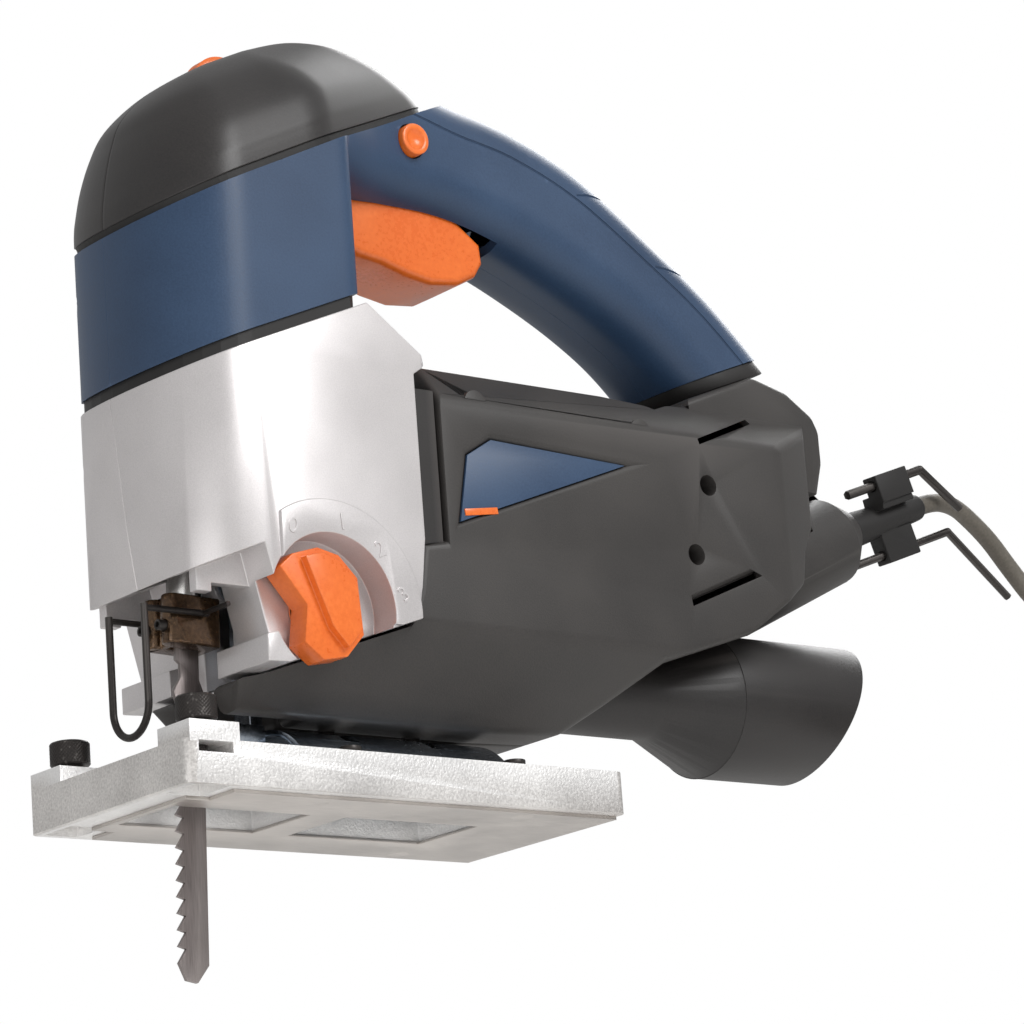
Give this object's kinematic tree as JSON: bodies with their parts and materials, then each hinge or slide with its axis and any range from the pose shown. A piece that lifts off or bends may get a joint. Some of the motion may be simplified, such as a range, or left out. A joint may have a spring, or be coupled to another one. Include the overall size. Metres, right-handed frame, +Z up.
{
  "type": "jigsaw",
  "caption": "Corded pendulum-action jigsaw with a closed D-handle, cast tilting base, orbital lever, trigger, dust nozzle, clipped hex keys, blade, coiled mains cord and plug.",
  "frame": {"origin": "where the blade passes the underside of the sole", "axes": "+X the cutting direction, +Y the operator's left, +Z up"},
  "size_m": [0.3955, 0.16, 0.2784],
  "materials": {
    "charcoal_shell": "fine sandblast-moulded texture",
    "black_cap": "satin moulded",
    "blue_shell": "satin moulded",
    "orange_plastic": "moulded, slight gloss",
    "silver_shell": "satin silver paint",
    "black_rubber": "matt",
    "black_plastic": "moulded",
    "cast_base": "bead-blasted casting",
    "sole_steel": "rolled sheet, lightly worn",
    "zinc_steel": "bright zinc plated",
    "dark_steel": "black oxide",
    "bright_steel": "ground",
    "clamp_steel": "bronze-brown phosphate",
    "blade_steel": "rolled strip, dulled",
    "lamination": "stacked sheet",
    "copper": "varnished winding",
    "bronze": "sintered, oiled",
    "carbon": "graphite",
    "circuit_board": "laminate",
    "foil_yellow": "moulded case",
    "cord_rubber": "matt, dusty"
  },
  "bodies": {
    "housing": {"cap_left": "black_cap", "cap_right": "black_cap", "grip_left": "blue_shell", "grip_right": "blue_shell", "gear_housing_left": "silver_shell", "gear_housing_right": "silver_shell", "motor_housing_left": "charcoal_shell", "motor_housing_right": "charcoal_shell", "upper_seam_strip": "black_rubber", "lower_seam_strip": "black_rubber", "handle_ring": "black_rubber", "side_panels": "blue_shell", "housing_screws": "dark_steel", "bevel_clamp_screws": "dark_steel", "stator_core": "lamination", "field_coils": "copper", "front_bearing": "bright_steel", "rear_bearing": "bright_steel", "brush_holders": "bronze", "carbon_brushes": "carbon", "gear_plate": "black_plastic", "gear_pin": "bright_steel", "plunger_bushes": "bronze", "fork_pin": "bright_steel", "switch_block": "black_plastic", "speed_board": "circuit_board", "capacitor": "foil_yellow", "cord_clamp": "black_plastic", "cord_sleeve": "black_rubber", "cord_tail": "cord_rubber", "wire_guard": "dark_steel", "dust_duct": "black_plastic", "cord_flex": "cord_rubber", "cord_coil": "cord_rubber", "plug_body": "black_rubber", "plug_pins": "bright_steel"},
    "armature": {"armature": "lamination", "fan": "black_plastic"},
    "gear": {"drive_gear": "bright_steel"},
    "saw_bar": {"plunger": "bright_steel", "blade_clamp": "clamp_steel", "clamp_screws": "dark_steel", "blade": "blade_steel"},
    "fork": {"roller_fork": "zinc_steel"},
    "roller": {"guide_roller": "dark_steel"},
    "orbital": {"orbital_lever": "orange_plastic", "orbital_shaft": "bright_steel"},
    "trigger": {"trigger": "orange_plastic"},
    "lock_button": {"lock_button": "orange_plastic"},
    "speed_dial": {"speed_dial": "orange_plastic"},
    "nozzle": {"dust_nozzle": "black_plastic"},
    "key_upper": {"hex_key_upper": "dark_steel"},
    "key_lower": {"hex_key_lower": "dark_steel"},
    "base": {"base_plate": "cast_base", "sole_sheet": "sole_steel", "bevel_bracket": "zinc_steel", "bracket_screws": "dark_steel"},
    "thumb_left": {"thumb_screw_left": "dark_steel"},
    "thumb_right": {"thumb_screw_right": "dark_steel"}
  },
  "joints": [
    {"name": "armature_spin", "type": "hinge", "parent": "housing", "child": "armature", "pos_m": [-0.1, 0, 0.078], "axis": [1, 0, 0], "continuous": true},
    {"name": "gear_spin", "type": "hinge", "parent": "housing", "child": "gear", "pos_m": [-0.03, 0, 0.108], "axis": [1, 0, 0], "continuous": true},
    {"name": "blade_stroke", "type": "slide", "parent": "housing", "child": "saw_bar", "axis": [-0.0384, 0, 0.9993], "range_m": [-0.01, 0.01]},
    {"name": "fork_swing", "type": "hinge", "parent": "housing", "child": "fork", "pos_m": [-0.022, 0, 0.068], "axis": [0, 1, 0], "range_deg": [0, 2]},
    {"name": "roller_spin", "type": "hinge", "parent": "fork", "child": "roller", "pos_m": [-0.0115, 0, 0.021], "axis": [0, 1, 0], "continuous": true},
    {"name": "orbital_set", "type": "hinge", "parent": "housing", "child": "orbital", "pos_m": [-0.0265, 0.03, 0.0535], "axis": [0, -1, 0], "range_deg": [0, 100]},
    {"name": "trigger_pull", "type": "hinge", "parent": "housing", "child": "trigger", "pos_m": [-0.054, 0, 0.193], "axis": [0, 1, 0], "range_deg": [0, 7], "stiffness_Nm_per_rad": 1.5, "springref_deg": -2.86},
    {"name": "lock_press", "type": "slide", "parent": "housing", "child": "lock_button", "axis": [0, -1, 0], "range_m": [0, 0.004], "stiffness_N_per_m": 400, "springref_m": -0.002},
    {"name": "speed_set", "type": "hinge", "parent": "housing", "child": "speed_dial", "pos_m": [-0.024, 0, 0.2136], "axis": [0, 1, 0], "range_deg": [0, 270]},
    {"name": "nozzle_pull", "type": "slide", "parent": "housing", "child": "nozzle", "axis": [-1, 0, 0], "range_m": [0, 0.03]},
    {"name": "key_upper_pull", "type": "slide", "parent": "housing", "child": "key_upper", "axis": [-0.9397, 0, 0.342], "range_m": [0, 0.03]},
    {"name": "key_lower_pull", "type": "slide", "parent": "housing", "child": "key_lower", "axis": [-0.9397, 0, 0.342], "range_m": [0, 0.03]},
    {"name": "base_bevel", "type": "hinge", "parent": "housing", "child": "base", "pos_m": [0, 0, 0.002], "axis": [1, 0, 0], "range_deg": [-27, 27]},
    {"name": "thumb_left_turn", "type": "hinge", "parent": "base", "child": "thumb_left", "pos_m": [0.0172, 0.031, 0.018], "axis": [0, 0, 1], "range_deg": [0, 360]},
    {"name": "thumb_right_turn", "type": "hinge", "parent": "base", "child": "thumb_right", "pos_m": [0.0172, -0.031, 0.018], "axis": [0, 0, 1], "range_deg": [0, 360]}
  ],
  "couplings": [
    {"joint": "gear_spin", "follows": "armature_spin", "ratio": -0.15385}
  ]
}
